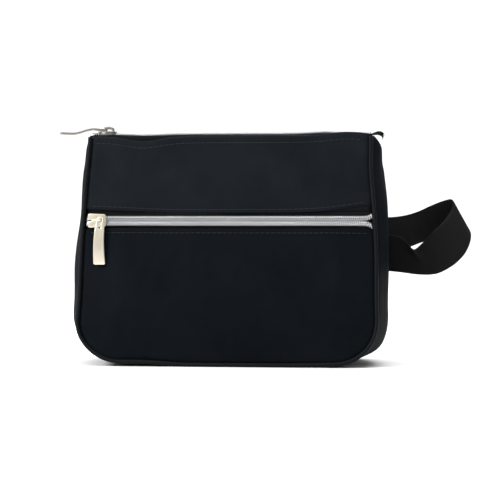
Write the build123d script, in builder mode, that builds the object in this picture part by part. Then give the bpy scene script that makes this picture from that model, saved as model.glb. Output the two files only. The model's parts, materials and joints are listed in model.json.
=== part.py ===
from build123d import *
from math import atan2, cos, pi, sin, tan
import os

os.makedirs("parts", exist_ok=True)

# Shaving kit bag, in millimetres. X runs along both zips, the pocket side faces -Y and Z is up.
# The origin is the middle of the base. Front and back panels lean towards each other, a gusset
# runs down one side, along the base and up the other, and corded piping covers each long seam.

# bag
base_width = 213.0       # over the gussets at the base
top_width = 199.0        # over the gussets at the mouth
bag_height = 159.0       # from the base to the hemmed edges of the panels
base_depth = 72.0        # front to back at the base
top_depth = 27.0         # front to back at the mouth
corner_radius = 32.0     # outside, at the two bottom corners

# cloth
panel_thickness = 1.2
gusset_thickness = 1.2
lining_thickness = 0.5
lining_space = 2.6       # between the gusset and its lining
hem_thickness = 1.0
hem_height = 7.0
cloth_gap = 0.1          # between cloth edges that lie side by side

# piping
piping_radius = 1.5
piping_proud = 1.2       # how far it stands in front of the panel
piping_cover = 0.5       # wall of the cover, and thickness of its sewn flange
cord_play = 0.05         # around the cord inside the cover
flange_width = 6.0

# pocket
pocket_space = 9.0       # between the pocket panel and its backing
chain_height = 99.8      # middle of the pocket zip above the base
slit_above_play = 2.1    # between the slider and the upper panel's edge
slit_below_play = 0.4    # and the pocket panel's edge
backing_rise = 6.0       # how far the backing goes on past the slit before it turns in
backing_turn = 18.0      # length of the turn

# zips
tape_thickness = 0.6
tape_sewn = 8.0          # width of tape that is sewn behind the cloth
tape_lift = 0.2          # mouth tape above the hemmed edges
tape_end_inset = 1.0     # mouth tape short of the gussets' outside
coil_thickness = 2.2
coil_reach = 3.6         # outer edge of each coil from the middle of the zip
slot_half = 0.9          # half of the slot that the slider's divider runs in
hinge_gap = 0.5          # between a tape that folds and the part of it that is sewn
flap_end_gap = 0.3

# sliders
slider_length = 12.6
slider_plate = 1.0
slider_rail = 0.95
slider_play = 0.25       # around the coils and the tape
slider_side_play = 0.35
slider_waist = 0.5       # how much narrower the closed end is, each side
throat_depth = 2.2
divider_step = 0.3       # from the throat to the divider
divider_length = 3.1
divider_half = 0.65
bridge_radius = 2.8
bridge_wire = 0.8
slider_end_play = 1.0    # between a slider at the end of its travel and the side
coil_parting = 4.0       # right end of the pocket zip, where its coils part and stop the slider

# pullers
puller_length = 31.0     # from the eye's middle to the tip
puller_root_width = 6.6
puller_tip_width = 8.2
puller_thickness = 1.4
puller_play = 0.15       # between puller and slider
eye_play = 0.4
eye_rim = 1.1
puller_hole_radius = 0.8
puller_hole_place = 5.2  # from the eye's middle

# wrist strap
strap_width = 25.0
webbing_thickness = 1.2
strap_reach = 58.0       # from the seam to the tip of the loop
strap_loop_radius = 11.0
strap_root_height = 82.0
strap_tip_height = 102.0
strap_play = 0.4         # between the strap's root and the piping
anchor_length = 12.0

# tape tail at the right end of the mouth zip
tail_width = 8.0
tail_run = 4.0
tail_curl = 2.5
tail_turn = 150.0

lean = atan2((base_depth - top_depth) / 2, bag_height)
slant = bag_height / cos(lean)
flare = atan2((base_width - top_width) / 2, slant)
base_flat = base_width / 2 - corner_radius / tan((pi / 2 - flare) / 2)

front = Plane((0, -base_depth / 2, 0), x_dir=(1, 0, 0), z_dir=(0, -cos(lean), sin(lean)))
back = Plane((0, base_depth / 2, 0), x_dir=(-1, 0, 0), z_dir=(0, cos(lean), sin(lean)))
faces = {"front": front, "back": back}

piping_width = 2 * piping_radius
piping_cord_radius = piping_radius - piping_cover - cord_play
panel_inset = piping_width + cloth_gap
seam_depth = piping_width - piping_proud
tape_depth = panel_thickness + hem_thickness
lining_depth = tape_depth + tape_thickness
backing_depth = panel_thickness + pocket_space
wall_inset = gusset_thickness + piping_cover + cloth_gap
lining_inset = gusset_thickness + lining_space
chain_up = chain_height / cos(lean)
rail_inner = coil_reach + slider_side_play
slider_half_width = rail_inner + slider_rail
slit_above = slider_half_width + slit_above_play
slit_below = slider_half_width + slit_below_play
slit_top = chain_up + slit_above
slit_bottom = chain_up - slit_below


def half_width(up):
    """Half the outside width at a distance up the slope of a panel."""
    return base_width / 2 - up * tan(flare)


def outline(inset, top, bottom=0.0):
    """Shape of a panel, moved in from the outside by inset and cut off level at top and bottom."""
    low = half_width(inset) - inset / cos(flare)
    high = half_width(top) - inset / cos(flare)
    with BuildSketch() as shape:
        Polygon((-high, top), (-low, inset), (low, inset), (high, top), align=None)
        fillet(shape.vertices().group_by(Axis.Y)[0], corner_radius - inset)
        with Locations((0, bottom)):
            Rectangle(base_width, slant, align=(Align.CENTER, Align.MIN), mode=Mode.INTERSECT)
    return shape.sketch


def gusset_band(outer, inner):
    """Band that follows the gussets between two insets, right through the bag from front to back."""
    with BuildPart() as band:
        with BuildSketch(front):
            add(outline(outer, slant))
            add(outline(inner, 2 * slant), mode=Mode.SUBTRACT)
        extrude(amount=base_depth, dir=(0, 1, 0))
    return band.part


def save(piece, name):
    piece.label = name
    export_step(piece, f"parts/{name}.step")


# panels

with BuildPart() as front_upper_panel:
    with BuildSketch(front):
        add(outline(panel_inset, slant, slit_top))
    extrude(amount=-panel_thickness)
save(front_upper_panel.part, "front_upper_panel")

with BuildPart() as front_pocket_panel:
    with BuildSketch(front):
        add(outline(panel_inset, slit_bottom))
    extrude(amount=-panel_thickness)
save(front_pocket_panel.part, "front_pocket_panel")

with BuildPart() as back_panel:
    with BuildSketch(back):
        add(outline(panel_inset, slant))
    extrude(amount=-panel_thickness)
save(back_panel.part, "back_panel")


# gussets: one band between the seams, made of a left, a bottom and a right length

gusset_lengths = {
    "left_gusset": (-base_width, -base_flat),
    "bottom_gusset": (-base_flat, base_flat),
    "right_gusset": (base_flat, base_width),
}
for name, (start, end) in gusset_lengths.items():
    with BuildPart() as gusset:
        add(gusset_band(0, gusset_thickness))
        for face in faces.values():
            split(bisect_by=face.offset(-seam_depth), keep=Keep.BOTTOM)
        with Locations(((start + end) / 2, 0, 0)):
            Box(end - start, 2 * base_depth, 3 * bag_height, mode=Mode.INTERSECT)
    save(gusset.part, name)


# lining and pocket backing

side_view = Plane(front.origin, x_dir=(0, sin(lean), cos(lean)), z_dir=(1, 0, 0))
turn_start = slit_top + backing_rise
turn_end = turn_start + backing_turn
backing_line = [
    (0, -backing_depth),
    (turn_start, -backing_depth),
    (turn_end, -lining_depth),
    (slant, -lining_depth),
]
backing_rear = [(up, out - lining_thickness) for up, out in reversed(backing_line)]

with BuildPart() as pocket_backing:
    with BuildSketch(side_view):
        Polygon(*backing_line, *backing_rear, align=None)
    extrude(amount=base_width / 2, both=True)
    with BuildSketch(front):
        add(outline(wall_inset, slant))
    extrude(amount=base_depth, dir=(0, 1, 0), mode=Mode.INTERSECT)
save(pocket_backing.part, "pocket_backing")

with BuildPart() as back_lining:
    with BuildSketch(back.offset(-lining_depth)):
        add(outline(wall_inset, slant))
    extrude(amount=-lining_thickness)
    with BuildSketch(front):
        add(outline(wall_inset, slant))
    extrude(amount=base_depth, dir=(0, 1, 0), mode=Mode.INTERSECT)
save(back_lining.part, "back_lining")

with BuildPart() as gusset_lining:
    add(gusset_band(lining_inset, lining_inset + lining_thickness))
    split(bisect_by=back.offset(-lining_depth - lining_thickness), keep=Keep.BOTTOM)
    with BuildSketch(side_view):
        Polygon((slant, 0), (0, 0), *reversed(backing_rear), align=None)
    extrude(amount=base_width / 2, both=True, mode=Mode.SUBTRACT)
save(gusset_lining.part, "gusset_lining")


# piping: a cord inside a cover, whose flange is sewn in along the gusset

piping_out = piping_proud - piping_radius
piping_rise = (piping_radius - piping_out * sin(lean)) / cos(lean)


def piping_path(face):
    """Middle line of the piping, from the mouth down one side, along the base and up the other."""
    low = half_width(piping_rise) - piping_radius / cos(flare)
    high = half_width(slant) - piping_radius / cos(flare)
    with BuildLine(face.offset(piping_out)) as path:
        FilletPolyline(
            (-high, slant), (-low, piping_rise), (low, piping_rise), (high, slant),
            radius=corner_radius - piping_radius,
        )
    return path.line


for side, face in faces.items():
    path = piping_path(face)
    section = Plane(path @ 0, x_dir=face.z_dir, z_dir=path % 0)

    with BuildPart() as piping:
        add(gusset_band(gusset_thickness, gusset_thickness + piping_cover))
        split(bisect_by=face.offset(piping_cover / 2 - seam_depth), keep=Keep.BOTTOM)
        split(bisect_by=face.offset(-flange_width), keep=Keep.TOP)
        with BuildSketch(section):
            Circle(piping_radius)
            Circle(piping_radius - piping_cover, mode=Mode.SUBTRACT)
        sweep(path=path)
    save(piping.part, f"{side}_piping")

    with BuildPart() as piping_cord:
        with BuildSketch(section):
            Circle(piping_cord_radius)
        sweep(path=path)
    save(piping_cord.part, f"{side}_piping_cord")


# hems along the mouth, and the zip tape sewn behind them

hem_inset = wall_inset + piping_width

for side, face in faces.items():
    with BuildPart() as hem:
        with BuildSketch(face.offset(-panel_thickness)):
            add(outline(hem_inset, slant, slant - hem_height))
        extrude(amount=-hem_thickness)
    save(hem.part, f"{side}_hem")

    with BuildPart() as sewn_tape:
        with BuildSketch(face.offset(-tape_depth)):
            add(outline(hem_inset, slant - hinge_gap, slant - tape_sewn))
        extrude(amount=-tape_thickness)
    save(sewn_tape.part, f"mouth_{side}_sewn_tape")


# zips: each is drawn in a plane on the back of its tape, with X along the chain

mouth_zip = Plane((0, 0, bag_height + tape_lift), x_dir=(1, 0, 0), z_dir=(0, 0, 1))
pocket_zip = Plane(
    front.from_local_coords((0, chain_up, -panel_thickness - tape_thickness)),
    x_dir=(1, 0, 0), z_dir=front.z_dir,
)
mouth_hinge = top_depth / 2 - (tape_depth + tape_thickness / 2) / cos(lean)
pocket_hinge = slit_above - hinge_gap
mouth_zip_half = top_width / 2 - tape_end_inset
pocket_zip_half = half_width(chain_up + coil_reach) - panel_inset
end_tape_half = half_width(slit_top) - panel_inset
sewn_tape_half = half_width(slit_top + tape_sewn) - panel_inset

mouth_slider_place = half_width(slant) - lining_inset - lining_thickness - slider_end_play - slider_length / 2
pocket_slider_place = pocket_zip_half - slider_end_play - slider_length / 2
pocket_slider_travel = 2 * pocket_slider_place - coil_parting
mouth_flap_half = mouth_slider_place - slider_length / 2 - flap_end_gap
pocket_flap_half = pocket_slider_place - slider_length / 2 - flap_end_gap


def strip(zip_plane, across, along, low, high):
    """Flat strip of a zip between two distances across it, two along it and two heights."""
    with BuildPart() as piece:
        with BuildSketch(zip_plane.offset(low)):
            with Locations((along[0], across[0])):
                Rectangle(along[1] - along[0], across[1] - across[0], align=(Align.MIN, Align.MIN))
        extrude(amount=high - low)
    return piece.part


def tape(zip_plane, across, along):
    return strip(zip_plane, across, along, 0, tape_thickness)


def coil(zip_plane, across, along):
    return strip(zip_plane, across, along, tape_thickness, tape_thickness + coil_thickness)


mouth_flap = (-mouth_flap_half, mouth_flap_half)
save(tape(mouth_zip, (-mouth_hinge, -slot_half), mouth_flap), "mouth_front_tape")
save(coil(mouth_zip, (-coil_reach, -slot_half), mouth_flap), "mouth_front_coil")
save(tape(mouth_zip, (slot_half, mouth_hinge), mouth_flap), "mouth_back_tape")
save(coil(mouth_zip, (slot_half, coil_reach), mouth_flap), "mouth_back_coil")

mouth_ends = {
    "left": (-mouth_zip_half, -mouth_flap_half - flap_end_gap),
    "right": (mouth_flap_half + flap_end_gap, mouth_zip_half),
}
for end, along in mouth_ends.items():
    with BuildPart() as end_tape:
        add(tape(mouth_zip, (-mouth_hinge, -slot_half), along))
        add(tape(mouth_zip, (slot_half, mouth_hinge), along))
    save(end_tape.part, f"mouth_{end}_end_tape")

    with BuildPart() as end_coil:
        add(coil(mouth_zip, (-coil_reach, -slot_half), along))
        add(coil(mouth_zip, (slot_half, coil_reach), along))
    save(end_coil.part, f"mouth_{end}_end_coil")

pocket_chain = (-pocket_zip_half, pocket_zip_half)
pocket_sewn = (-sewn_tape_half, sewn_tape_half)
pocket_flap = (-pocket_flap_half, pocket_flap_half)
pocket_end_start = pocket_flap_half + flap_end_gap
save(tape(pocket_zip, (-slit_below - tape_sewn, -slot_half), pocket_chain), "pocket_lower_tape")
save(coil(pocket_zip, (-coil_reach, -slot_half), pocket_chain), "pocket_lower_coil")
save(tape(pocket_zip, (slit_above, slit_above + tape_sewn), pocket_sewn), "pocket_sewn_tape")
save(tape(pocket_zip, (slot_half, pocket_hinge), pocket_flap), "pocket_upper_tape")
save(coil(pocket_zip, (slot_half, coil_reach), pocket_flap), "pocket_upper_coil")
for end, side in {"left": -1, "right": 1}.items():
    tape_along = sorted((side * pocket_end_start, side * end_tape_half))
    coil_along = sorted((side * pocket_end_start, side * pocket_zip_half))
    save(tape(pocket_zip, (slot_half, slit_above), tape_along), f"pocket_{end}_end_tape")
    save(coil(pocket_zip, (slot_half, coil_reach), coil_along), f"pocket_{end}_end_coil")


# sliders and pullers

coil_top = tape_thickness + coil_thickness
top_plate_low = coil_top + slider_play
top_plate_high = top_plate_low + slider_plate
bottom_plate_high = -slider_play
puller_level = top_plate_high + puller_play + puller_thickness / 2


def slider_shape(inner):
    """Outline of a slider, or of the channel in it: wide at the open end, on the left."""
    half = slider_length / 2
    with BuildSketch() as shape:
        Polygon(
            (-half, -inner), (half, -inner + slider_waist), (half, inner - slider_waist), (-half, inner),
            align=None,
        )
    return shape.sketch


def make_slider(zip_plane, along):
    """Slider whose middle is at a distance along the chain."""
    place = Plane(zip_plane.from_local_coords((along, 0, 0)), x_dir=zip_plane.x_dir, z_dir=zip_plane.z_dir)
    with BuildPart() as slider:
        with BuildSketch(place.offset(top_plate_low)) as plate:
            add(slider_shape(slider_half_width))
            fillet(plate.vertices(), slider_rail)
            with Locations((-slider_length / 2, 0)):
                Circle(throat_depth, mode=Mode.SUBTRACT)
        extrude(amount=slider_plate)
        with BuildSketch(place.offset(bottom_plate_high - slider_plate)) as plate:
            add(slider_shape(slider_half_width))
            fillet(plate.vertices(), slider_rail)
        extrude(amount=slider_plate)
        with BuildSketch(place.offset(tape_thickness + slider_play)) as rails:
            add(slider_shape(slider_half_width))
            fillet(rails.vertices(), slider_rail)
            Rectangle(2 * slider_length, 2 * rail_inner, mode=Mode.SUBTRACT)
        extrude(amount=top_plate_low - tape_thickness - slider_play)
        with BuildSketch(place.offset(bottom_plate_high)):
            with Locations((throat_depth + divider_step - slider_length / 2, 0)):
                Rectangle(divider_length, 2 * divider_half, align=(Align.MIN, Align.CENTER))
        extrude(amount=top_plate_low - bottom_plate_high)
        upright = Plane(place.origin, x_dir=place.x_dir, z_dir=-place.y_dir)
        with BuildLine(upright) as bridge:
            Line((-bridge_radius, top_plate_high - slider_plate / 2), (-bridge_radius, puller_level))
            RadiusArc((-bridge_radius, puller_level), (bridge_radius, puller_level), bridge_radius)
            Line((bridge_radius, puller_level), (bridge_radius, top_plate_high - slider_plate / 2))
        with BuildSketch(Plane(bridge.line @ 0, z_dir=bridge.line % 0)):
            Circle(bridge_wire)
        sweep(path=bridge.line)
    return slider.part


def make_puller(zip_plane, eye, direction):
    """Puller with its eye at a point on the chain, pointing away along a direction in the zip's plane."""
    low = Plane(
        zip_plane.from_local_coords((*eye, puller_level - puller_thickness / 2)),
        x_dir=direction, z_dir=zip_plane.z_dir,
    )
    eye_radius = bridge_wire + eye_play + eye_rim
    with BuildPart() as puller:
        with BuildSketch(low) as plate:
            Polygon(
                (0, -eye_radius), (puller_hole_place, -puller_root_width / 2),
                (puller_length, -puller_tip_width / 2), (puller_length, puller_tip_width / 2),
                (puller_hole_place, puller_root_width / 2), (0, eye_radius), align=None,
            )
            fillet(plate.vertices().group_by(Axis.X)[-1], puller_tip_width / 5)
            Circle(eye_radius)
            Circle(bridge_wire + eye_play, mode=Mode.SUBTRACT)
            with Locations((puller_hole_place, 0)):
                Circle(puller_hole_radius, mode=Mode.SUBTRACT)
        extrude(amount=puller_thickness)
    return puller.part


save(make_slider(mouth_zip, -mouth_slider_place), "mouth_slider")
save(make_puller(mouth_zip, (-mouth_slider_place - bridge_radius, 0), (-1, 0, 0)), "mouth_puller")
save(make_slider(pocket_zip, -pocket_slider_place), "pocket_slider")
save(make_puller(pocket_zip, (-pocket_slider_place + bridge_radius, 0), -front.y_dir), "pocket_puller")


# curled end of the mouth zip's tape, past the right gusset

tail_root = mouth_zip_half + cloth_gap
tail_top = bag_height + tape_lift + tape_thickness
with BuildPart() as mouth_tape_tail:
    with BuildSketch(Plane.XZ.offset(-tail_width / 2)):
        with BuildLine() as tail_line:
            tail_flat = Line((tail_root, tail_top), (tail_root + tail_run, tail_top))
            JernArc(tail_flat @ 1, (1, 0), tail_curl, -tail_turn)
            offset(amount=tape_thickness, side=Side.RIGHT, closed=True)
        make_face()
    extrude(amount=tail_width)
save(mouth_tape_tail.part, "mouth_tape_tail")


# wrist strap: a loop of webbing with both ends sewn into the right-hand back seam

strap_rise = atan2(strap_tip_height - strap_root_height, strap_reach)
strap_low = strap_root_height - strap_width / 2
strap_axis_x = half_width(strap_low / cos(lean)) + strap_play + webbing_thickness
strap_axis_y = base_depth / 2 - strap_root_height * tan(lean)
strap_loop_place = strap_reach - strap_loop_radius

with BuildPart() as wrist_strap:
    with BuildSketch(Plane((strap_axis_x, strap_axis_y, 0))):
        with BuildSketch() as loop:
            Circle(webbing_thickness)
            with Locations((strap_loop_place, 0)):
                Circle(strap_loop_radius)
            make_hull()
        with BuildSketch(mode=Mode.SUBTRACT) as gap:
            with Locations((4 * webbing_thickness, 0)):
                Circle(cloth_gap)
            with Locations((strap_loop_place, 0)):
                Circle(strap_loop_radius - webbing_thickness)
            make_hull()
    extrude(amount=2 * bag_height)
    with BuildSketch(Plane.XZ.offset(-2 * base_depth)):
        with Locations(Location((strap_axis_x, strap_root_height), 180 * strap_rise / pi)):
            Rectangle(4 * strap_reach, strap_width)
    extrude(amount=4 * base_depth, mode=Mode.INTERSECT)
save(wrist_strap.part, "wrist_strap")

anchor_start = flange_width + cloth_gap
with BuildPart() as strap_anchor:
    add(gusset_band(gusset_thickness, gusset_thickness + 2 * webbing_thickness))
    split(bisect_by=back.offset(-anchor_start), keep=Keep.BOTTOM)
    split(bisect_by=back.offset(-anchor_start - anchor_length), keep=Keep.TOP)
    with Locations((base_width / 2, 0, strap_root_height)):
        Box(base_width / 2, 2 * base_depth, strap_width, mode=Mode.INTERSECT)
save(strap_anchor.part, "strap_anchor")
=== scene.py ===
import bmesh
import bpy
import json
from math import atan2, ceil, cos, exp, pi, sin, sqrt, tan
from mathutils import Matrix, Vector, noise
from mathutils.bvhtree import BVHTree

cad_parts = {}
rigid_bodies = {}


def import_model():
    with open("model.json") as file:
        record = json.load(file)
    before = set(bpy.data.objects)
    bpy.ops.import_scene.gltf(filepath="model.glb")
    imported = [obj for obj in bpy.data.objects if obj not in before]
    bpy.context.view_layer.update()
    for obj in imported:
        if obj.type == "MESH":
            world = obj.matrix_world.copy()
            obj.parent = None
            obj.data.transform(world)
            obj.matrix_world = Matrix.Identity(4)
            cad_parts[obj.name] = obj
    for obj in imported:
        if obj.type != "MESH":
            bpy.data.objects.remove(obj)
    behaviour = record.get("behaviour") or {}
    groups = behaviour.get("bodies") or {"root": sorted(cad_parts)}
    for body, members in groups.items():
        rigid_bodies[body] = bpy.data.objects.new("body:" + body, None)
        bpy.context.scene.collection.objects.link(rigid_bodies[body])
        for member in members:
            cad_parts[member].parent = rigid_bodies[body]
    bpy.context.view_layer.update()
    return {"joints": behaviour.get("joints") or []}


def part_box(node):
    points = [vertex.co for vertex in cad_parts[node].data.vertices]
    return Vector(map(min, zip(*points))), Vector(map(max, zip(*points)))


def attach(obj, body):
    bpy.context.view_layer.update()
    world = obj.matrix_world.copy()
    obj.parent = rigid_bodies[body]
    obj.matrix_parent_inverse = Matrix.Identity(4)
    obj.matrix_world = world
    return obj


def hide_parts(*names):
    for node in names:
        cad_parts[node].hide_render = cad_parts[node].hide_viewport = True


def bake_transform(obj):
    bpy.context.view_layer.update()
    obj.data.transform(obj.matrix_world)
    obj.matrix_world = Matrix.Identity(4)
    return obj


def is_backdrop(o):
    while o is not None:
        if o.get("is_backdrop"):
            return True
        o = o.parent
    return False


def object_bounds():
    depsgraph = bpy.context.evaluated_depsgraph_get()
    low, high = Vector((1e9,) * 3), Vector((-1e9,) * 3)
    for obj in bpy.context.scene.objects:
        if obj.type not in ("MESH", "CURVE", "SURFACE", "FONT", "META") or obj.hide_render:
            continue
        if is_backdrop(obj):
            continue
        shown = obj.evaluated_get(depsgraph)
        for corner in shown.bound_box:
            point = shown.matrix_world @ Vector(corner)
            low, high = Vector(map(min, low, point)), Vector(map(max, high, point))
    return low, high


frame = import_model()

# Shaving kit bag. Metres, X along the zips, pocket side towards -Y, Z up.

scene = bpy.context.scene
for thing in list(bpy.data.objects):
    if thing.name in ("Cube", "Light", "Camera"):
        bpy.data.objects.remove(thing)

# camera

view = {
    "aim": (0.0153, -0.025, 0.0798),
    "azimuth": 0.080,        # radians round to the right
    "distance": 1.0,
    "eyeHeight": 0.100,
    "lens": 104.65,
}
cameraData = bpy.data.cameras.new("camera")
cameraData.lens = view["lens"]
camera = bpy.data.objects.new("camera", cameraData)
aim = Vector(view["aim"])
camera.location = (
    aim.x + view["distance"] * sin(view["azimuth"]),
    aim.y - view["distance"] * cos(view["azimuth"]),
    view["eyeHeight"],
)
camera.rotation_euler = (aim - camera.location).to_track_quat("-Z", "Y").to_euler()
scene.collection.objects.link(camera)
scene.camera = camera
scene.view_settings.view_transform = "Standard"

# light: white room, soft light from above, key from the left, weak fill from the right, rim from behind

light = {
    "room": 0.34,            # how much the room lights the bag
    "backdrop": 1.15,        # how bright the room looks itself
    "ceiling": {"strength": 2.9, "spread": 1.3, "towards": (0.04, -0.14, -1.0)},
    "lamps": {
        "key": {"at": (-1.3, -0.8, 1.1), "size": 0.6, "watts": 31},
        "fill": {"at": (1.2, -1.1, 0.6), "size": 0.6, "watts": 0.8},
        "rim": {"at": (0.3, 1.3, 1.1), "size": 0.8, "watts": 14},
    },
    "lampAim": (0.0, 0.0, 0.07),
}
world = bpy.data.worlds.new("room")
scene.world = world
world.use_nodes = True
roomNodes = world.node_tree.nodes
roomBack = roomNodes["Background"]
path = roomNodes.new("ShaderNodeLightPath")
strength = roomNodes.new("ShaderNodeMapRange")
strength.inputs["To Min"].default_value = light["room"]
strength.inputs["To Max"].default_value = light["backdrop"]
world.node_tree.links.new(path.outputs["Is Camera Ray"], strength.inputs["Value"])
world.node_tree.links.new(strength.outputs["Result"], roomBack.inputs["Strength"])
roomBack.inputs["Color"].default_value = (1, 1, 1, 1)

ceilingData = bpy.data.lights.new("ceiling", "SUN")
ceilingData.energy = light["ceiling"]["strength"]
ceilingData.angle = light["ceiling"]["spread"]
ceiling = bpy.data.objects.new("ceiling", ceilingData)
ceiling.rotation_euler = Vector(light["ceiling"]["towards"]).to_track_quat("-Z", "Y").to_euler()
scene.collection.objects.link(ceiling)

for name, lamp in light["lamps"].items():
    lampData = bpy.data.lights.new(name, "AREA")
    lampData.size = lamp["size"]
    lampData.energy = lamp["watts"]
    lampObject = bpy.data.objects.new(name, lampData)
    lampObject.location = lamp["at"]
    towards = Vector(light["lampAim"]) - lampObject.location
    lampObject.rotation_euler = towards.to_track_quat("-Z", "Y").to_euler()
    scene.collection.objects.link(lampObject)
print("camera and light set")

# sizes that several pieces share

bag = {
    "baseWidth": 0.213,
    "topWidth": 0.199,
    "cornerRadius": 0.032,
    "panelThick": 0.0012,
    "clothThick": 0.0010,    # one layer of the shell cloth
    "leftBulge": 0.0066,     # how far each gusset swells past its seams
    "rightBulge": 0.0062,
    "hem": 0.0070,
    "seamInset": 0.0024,     # where the panels dive under the piping
}
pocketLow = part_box("front_pocket_panel")[0]
upperLow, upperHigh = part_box("front_upper_panel")
height = upperHigh.z
lean = atan2(upperLow.y - pocketLow.y, upperLow.z - pocketLow.z)
footDepth = -(pocketLow.y - (pocketLow.z + bag["panelThick"] * sin(lean)) * tan(lean))
slant = height / cos(lean)
flare = atan2((bag["baseWidth"] - bag["topWidth"]) / 2, slant)
hinges = {joint["name"]: joint for joint in frame["joints"]}


def facePoint(side, x, up, out=0.0):
    # point on the front (side -1) or back (side 1) plane, so far up its slope and out from it
    depth = footDepth - up * sin(lean) + out * cos(lean)
    return Vector((x, side * depth, up * cos(lean) + out * sin(lean)))


def halfWidth(up):
    return bag["baseWidth"] / 2 - up * tan(flare)


cornerX = halfWidth(bag["cornerRadius"]) - bag["cornerRadius"] / cos(flare)


def edgeX(up, inset):
    # half the width inside the rounded outline, moved in by inset
    radius = bag["cornerRadius"] - inset
    if up >= bag["cornerRadius"] + radius * sin(flare):
        return halfWidth(up) - inset / cos(flare)
    below = bag["cornerRadius"] - up
    return cornerX + sqrt(max(radius * radius - below * below, 0))


def outlinePath(inset, top, step):
    # points (x, up, turn) down the left side, along the base and up the right, turn is the outward angle
    radius = bag["cornerRadius"] - inset
    tangent = bag["cornerRadius"] + radius * sin(flare)
    count = ceil((top - tangent) / step)
    ups = [top + (tangent - top) * i / count for i in range(count)]
    right = [(halfWidth(up) - inset / cos(flare), up, flare) for up in reversed(ups)]
    bends = ceil(radius * 1.6 / step)
    for i in range(bends + 1):
        turn = flare + (-pi / 2 - flare) * i / bends
        right.insert(0, (cornerX + radius * cos(turn), bag["cornerRadius"] + radius * sin(turn), turn))
    flats = ceil(2 * cornerX / step)
    base = [(-cornerX + 2 * cornerX * i / flats, inset, -pi / 2) for i in range(1, flats)]
    left = [(-x, up, pi - turn) for x, up, turn in reversed(right)]
    return left + base + right


def smooth(value):
    value = min(max(value, 0.0), 1.0)
    return value * value * (3 - 2 * value)


softness = {
    "side": 0.0022, "face": 0.0018,
    "scale": (9, 12, 15),                                    # how fast the shift changes along X, Y and Z
    "calmRows": 0.030,
    "leftLift": 0.0018, "leftStart": 0.025, "leftRun": 0.035,
    "rightLift": 0.0010, "rightStart": 0.035, "rightRun": 0.05,
    "liftHeight": 0.05,
    "seed": 5,                                               # keeps the shifts the same on every run
}
pocketZipUp = 0.0998
noise.seed_set(softness["seed"])


def settle(point):
    # the whole sewn shell gives a little, but stays still at the zips; the base's ends lift off the table
    calm = smooth(point.z / softness["calmRows"]) * smooth((height - point.z) / softness["calmRows"])
    fastX, fastY, fastZ = softness["scale"]
    shift = noise.noise_vector(Vector((point.x * fastX, point.y * fastY, point.z * fastZ)))
    nearZip = smooth(abs(point.z - pocketZipUp) / softness["calmRows"])
    ends = softness["leftLift"] * smooth((-point.x - softness["leftStart"]) / softness["leftRun"])
    ends += softness["rightLift"] * smooth((point.x - softness["rightStart"]) / softness["rightRun"])
    lift = ends * (1 - smooth(point.z / softness["liftHeight"]))
    sideways = softness["side"] * shift.x * calm
    return point + Vector((sideways, softness["face"] * shift.y * calm * nearZip, lift))


def spread(start, end, step):
    # evenly spaced numbers with both ends in
    count = max(1, ceil(abs(end - start) / step))
    return [start + (end - start) * i / count for i in range(count + 1)]


# mesh helpers: a heap collects points and faces, and becomes one piece at the end


def newHeap():
    return {"points": [], "faces": [], "corners": [], "finish": []}


def addSheet(heap, rows, finish=0):
    # grid of points; its weave coordinates are lengths measured on the cloth
    first = len(heap["points"])
    wide = len(rows[0])
    across = []
    for row in rows:
        run = [0.0]
        for a, b in zip(row, row[1:]):
            run.append(run[-1] + (b - a).length)
        across.append([r - run[-1] / 2 for r in run])
        heap["points"].extend(row)
    along = [0.0]
    for low, high in zip(rows, rows[1:]):
        along.append(along[-1] + (high[wide // 2] - low[wide // 2]).length)
    for i in range(len(rows) - 1):
        low = first + i * wide
        high = low + wide
        for j in range(wide - 1):
            k = j + 1
            heap["faces"].append((low + j, low + k, high + k, high + j))
            heap["corners"] += [
                (across[i][j], along[i]), (across[i][k], along[i]),
                (across[i + 1][k], along[i + 1]), (across[i + 1][j], along[i + 1]),
            ]
            heap["finish"].append(finish)


def addTube(heap, points, radius, sides=8, finish=0):
    # round tube along points with closed ends; radius is a number or one for each point
    radii = radius if isinstance(radius, list) else [radius] * len(points)
    first = len(heap["points"])
    last = len(points) - 1
    side = None
    run = 0.0
    runs = []
    for i, point in enumerate(points):
        tangent = (points[min(i + 1, last)] - points[max(i - 1, 0)]).normalized()
        if side is None:
            guide = Vector((0, 0, 1)) if abs(tangent.z) < 0.9 else Vector((0, 1, 0))
            side = tangent.cross(guide).normalized()
        side = (side - tangent * side.dot(tangent)).normalized()
        other = tangent.cross(side)
        for k in range(sides):
            turn = 2 * pi * k / sides
            heap["points"].append(point + (side * cos(turn) + other * sin(turn)) * radii[i])
        if i:
            run += (point - points[i - 1]).length
        runs.append(run)
    girth = 2 * pi * max(radii) / sides
    for i in range(last):
        low = first + i * sides
        high = low + sides
        for k in range(sides):
            n = (k + 1) % sides
            left, right = k * girth, (k + 1) * girth
            heap["faces"].append((low + k, low + n, high + n, high + k))
            heap["corners"] += [(left, runs[i]), (right, runs[i]), (right, runs[i + 1]), (left, runs[i + 1])]
            heap["finish"].append(finish)
    for ring, order in ((0, range(sides - 1, -1, -1)), (last, range(sides))):
        heap["faces"].append(tuple(first + ring * sides + k for k in order))
        heap["corners"] += [(k * girth, runs[ring]) for k in order]
        heap["finish"].append(finish)


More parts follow.
